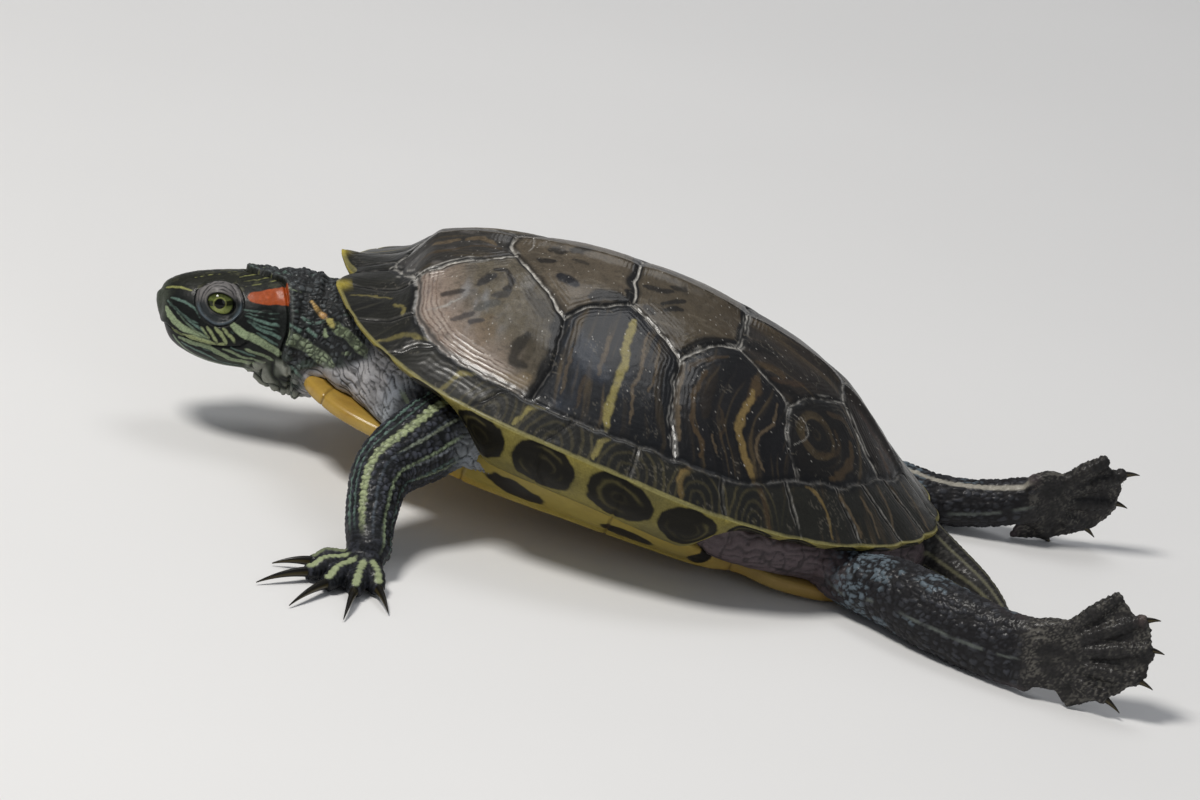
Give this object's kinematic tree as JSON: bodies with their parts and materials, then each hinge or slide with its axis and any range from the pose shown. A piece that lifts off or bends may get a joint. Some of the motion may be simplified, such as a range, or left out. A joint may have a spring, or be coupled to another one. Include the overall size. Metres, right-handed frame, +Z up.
{
  "type": "red-eared slider turtle",
  "caption": "Life-size still model of a red-eared slider turtle, resting with head raised, forelegs spread and hind legs stretched back, for display.",
  "frame": {"origin": "middle of the small flat under the rear of the plastron, on the floor", "axes": "+X from the head to the tail, +Y to the animal's right side, +Z up"},
  "size_m": [0.31, 0.2578, 0.078],
  "materials": {
    "carapace": "horny scutes, dark olive and brown with yellow bars, satin gloss",
    "plastron": "horny scutes, yellow with dark round blotches, satin gloss",
    "skin": "scaly skin, dark green to grey with pale yellow-green stripes, damp satin",
    "eye": "wet gloss, yellow-green iris with a dark bar and pupil",
    "claw": "dark horn, smooth"
  },
  "bodies": {
    "root": {"carapace": "carapace", "claw_fore_left_1": "claw", "claw_fore_left_2": "claw", "claw_fore_left_3": "claw", "claw_fore_left_4": "claw", "claw_fore_left_5": "claw", "claw_fore_right_1": "claw", "claw_fore_right_2": "claw", "claw_fore_right_3": "claw", "claw_fore_right_4": "claw", "claw_fore_right_5": "claw", "claw_hind_left_1": "claw", "claw_hind_left_2": "claw", "claw_hind_left_3": "claw", "claw_hind_left_4": "claw", "claw_hind_right_1": "claw", "claw_hind_right_2": "claw", "claw_hind_right_3": "claw", "claw_hind_right_4": "claw", "eye_left": "eye", "eye_right": "eye", "foot_left": "skin", "foot_right": "skin", "forearm_left": "skin", "forearm_right": "skin", "hand_left": "skin", "hand_right": "skin", "head": "skin", "lower_jaw": "skin", "neck": "skin", "plastron": "plastron", "shank_left": "skin", "shank_right": "skin", "tail": "skin", "thigh_left": "skin", "thigh_right": "skin", "trunk": "skin", "upper_arm_left": "skin", "upper_arm_right": "skin"}
  },
  "joints": []
}
